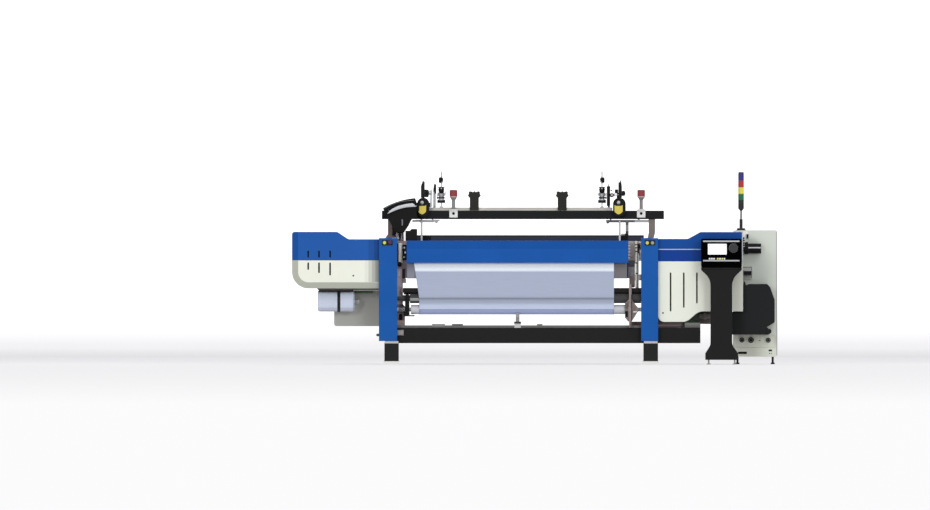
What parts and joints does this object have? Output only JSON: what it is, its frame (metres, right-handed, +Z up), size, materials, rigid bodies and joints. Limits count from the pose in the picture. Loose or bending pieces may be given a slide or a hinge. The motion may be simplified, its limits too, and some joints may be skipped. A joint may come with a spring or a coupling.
{
  "type": "power loom",
  "caption": "Rapier weaving loom with sheet covers, front posts, take-up rollers with cloth, top beam, control head on a column and an electrical cabinet.",
  "frame": {"origin": "on the floor, under the middle of the overall box", "axes": "+X along the cloth's width to the right seen from the cloth side, +Y to the back, +Z up"},
  "size_m": [4.854, 1.948, 1.925],
  "materials": {
    "pad": "matt",
    "black_iron": "painted satin",
    "frame_grey": "painted satin",
    "black_paint": "satin",
    "rail_pale": "satin",
    "crown_olive": "satin",
    "post_dark": "satin",
    "stand_grey": "satin",
    "lamp_red": "gloss",
    "housing_black": "satin",
    "blade_steel": "brushed",
    "guide_steel": "brushed",
    "spool_black": "gloss",
    "selector_black": "gloss",
    "finger_steel": "brushed",
    "blue_sheet": "satin",
    "button_green": "gloss",
    "button_dark": "gloss",
    "button_yellow": "gloss",
    "button_white": "gloss",
    "sley_grey": "satin",
    "reed_dark": "satin",
    "breast_grey": "satin",
    "cloth": "plain weave",
    "roller_bright": "polished",
    "roller_dark": "matt",
    "gear_case": "machined",
    "white_sheet": "satin",
    "wheel_grey": "machined",
    "rapier_steel": "brushed",
    "casting_grey": "painted satin",
    "motor_paint": "satin",
    "guard_grey": "satin",
    "column_black": "satin",
    "head_black": "satin",
    "dial_grey": "satin",
    "cabinet_grey": "satin",
    "dobby_black": "satin",
    "tower": "gloss"
  },
  "bodies": {
    "loom_frame": {"machine_pads": "pad", "frame_feet": "black_iron", "front_crossbeam": "black_paint", "rear_crossbeam": "black_paint", "left_side_frame": "frame_grey", "right_side_frame": "frame_grey", "top_beam": "black_paint", "top_rail": "rail_pale", "beam_posts": "post_dark", "crown_brackets": "crown_olive", "lamp_stands": "stand_grey", "warning_lamps": "lamp_red", "tensioner_housings": "housing_black", "selvedge_blades": "blade_steel", "thread_guides": "guide_steel", "hook_bars": "guide_steel", "selector_hood": "selector_black", "selector_body": "selector_black", "cutter_box": "housing_black", "left_post_cover": "blue_sheet", "right_post_cover": "blue_sheet", "front_panel": "blue_sheet", "breast_beam": "breast_grey", "cloth_sheet": "cloth", "press_beam": "black_paint", "left_gear_case": "gear_case", "right_gear_case": "gear_case", "left_upper_cover": "blue_sheet", "left_lower_cover": "white_sheet", "left_drive_casting": "casting_grey", "right_drive_casting": "casting_grey", "drive_motor": "motor_paint", "belt_guard": "guard_grey", "right_upper_cover": "blue_sheet", "right_lower_cover": "white_sheet", "control_column": "column_black", "control_head": "head_black", "cabinet": "cabinet_grey", "dobby": "dobby_black", "signal_tower": "tower"},
    "sley": {"sley": "sley_grey", "reed": "reed_dark"},
    "take_up_roller": {"take_up_roller": "roller_dark"},
    "cloth_roller": {"cloth_roller": "roller_bright", "cloth_roll": "cloth"},
    "back_rest_roller": {"back_rest_roller": "roller_bright"},
    "left_rapier_wheel": {"left_rapier_wheel": "wheel_grey"},
    "right_rapier_wheel": {"right_rapier_wheel": "wheel_grey"},
    "left_rapier": {"left_rapier": "rapier_steel"},
    "right_rapier": {"right_rapier": "rapier_steel"},
    "motor_shaft": {"motor_shaft": "rapier_steel"},
    "left_leno_spool": {"left_leno_spool": "spool_black"},
    "right_leno_spool": {"right_leno_spool": "spool_black"},
    "selector_finger_1": {"selector_finger_1": "finger_steel"},
    "selector_finger_2": {"selector_finger_2": "finger_steel"},
    "control_dial": {"control_dial": "dial_grey"},
    "left_start_button": {"left_start_button": "button_green"},
    "left_stop_button": {"left_stop_button": "button_dark"},
    "right_start_button": {"right_start_button": "button_yellow"},
    "right_stop_button": {"right_stop_button": "button_white"}
  },
  "joints": [
    {"name": "sley_rock", "type": "hinge", "parent": "loom_frame", "child": "sley", "pos_m": [0, -0.3, 0.66], "axis": [1, 0, 0], "range_deg": [0, 6]},
    {"name": "take_up_turn", "type": "hinge", "parent": "loom_frame", "child": "take_up_roller", "pos_m": [0, -0.69, 0.6605], "axis": [1, 0, 0], "continuous": true},
    {"name": "cloth_roller_turn", "type": "hinge", "parent": "loom_frame", "child": "cloth_roller", "pos_m": [0, -0.69, 0.5495], "axis": [1, 0, 0], "continuous": true},
    {"name": "back_rest_turn", "type": "hinge", "parent": "loom_frame", "child": "back_rest_roller", "pos_m": [0, 0.88, 1.1], "axis": [1, 0, 0], "continuous": true},
    {"name": "left_rapier_wheel_turn", "type": "hinge", "parent": "loom_frame", "child": "left_rapier_wheel", "pos_m": [-2, -0.4, 0.9905], "axis": [0, 1, 0], "range_deg": [0, 279]},
    {"name": "right_rapier_wheel_turn", "type": "hinge", "parent": "loom_frame", "child": "right_rapier_wheel", "pos_m": [1.69, -0.4, 0.9905], "axis": [0, -1, 0], "range_deg": [0, 279]},
    {"name": "left_rapier_stroke", "type": "slide", "parent": "loom_frame", "child": "left_rapier", "axis": [1, 0, 0], "range_m": [0, 1.04]},
    {"name": "right_rapier_stroke", "type": "slide", "parent": "loom_frame", "child": "right_rapier", "axis": [-1, 0, 0], "range_m": [0, 1.04]},
    {"name": "motor_shaft_turn", "type": "hinge", "parent": "loom_frame", "child": "motor_shaft", "pos_m": [-1.77, -0.47, 0.635], "axis": [1, 0, 0], "continuous": true},
    {"name": "left_leno_spool_turn", "type": "hinge", "parent": "loom_frame", "child": "left_leno_spool", "pos_m": [-0.934, 0, 1.74], "axis": [0, 0, 1], "continuous": true},
    {"name": "right_leno_spool_turn", "type": "hinge", "parent": "loom_frame", "child": "right_leno_spool", "pos_m": [0.673, 0, 1.74], "axis": [0, 0, 1], "continuous": true},
    {"name": "finger_1_swing", "type": "hinge", "parent": "loom_frame", "child": "selector_finger_1", "pos_m": [-1.366, -0.131, 1.302], "axis": [0, 1, 0], "range_deg": [-8, 8]},
    {"name": "finger_2_swing", "type": "hinge", "parent": "loom_frame", "child": "selector_finger_2", "pos_m": [-1.33, -0.131, 1.302], "axis": [0, 1, 0], "range_deg": [-8, 8]},
    {"name": "dial_turn", "type": "hinge", "parent": "loom_frame", "child": "control_dial", "pos_m": [1.987, -0.95, 1.165], "axis": [0, 1, 0], "range_deg": [-150, 150]},
    {"name": "left_start_button_press", "type": "slide", "parent": "loom_frame", "child": "left_start_button", "axis": [0, 1, 0], "range_m": [0, 0.004], "stiffness_N_per_m": 900},
    {"name": "left_stop_button_press", "type": "slide", "parent": "loom_frame", "child": "left_stop_button", "axis": [0, 1, 0], "range_m": [0, 0.004], "stiffness_N_per_m": 900},
    {"name": "right_start_button_press", "type": "slide", "parent": "loom_frame", "child": "right_start_button", "axis": [0, 1, 0], "range_m": [0, 0.004], "stiffness_N_per_m": 900},
    {"name": "right_stop_button_press", "type": "slide", "parent": "loom_frame", "child": "right_stop_button", "axis": [0, 1, 0], "range_m": [0, 0.004], "stiffness_N_per_m": 900}
  ],
  "couplings": [
    {"joint": "cloth_roller_turn", "follows": "take_up_turn", "ratio": 0.97},
    {"joint": "right_rapier_wheel_turn", "follows": "left_rapier_wheel_turn", "ratio": 1},
    {"joint": "left_rapier_stroke", "follows": "left_rapier_wheel_turn", "m_per_rad": 0.2135},
    {"joint": "right_rapier_stroke", "follows": "left_rapier_wheel_turn", "m_per_rad": 0.2135}
  ]
}
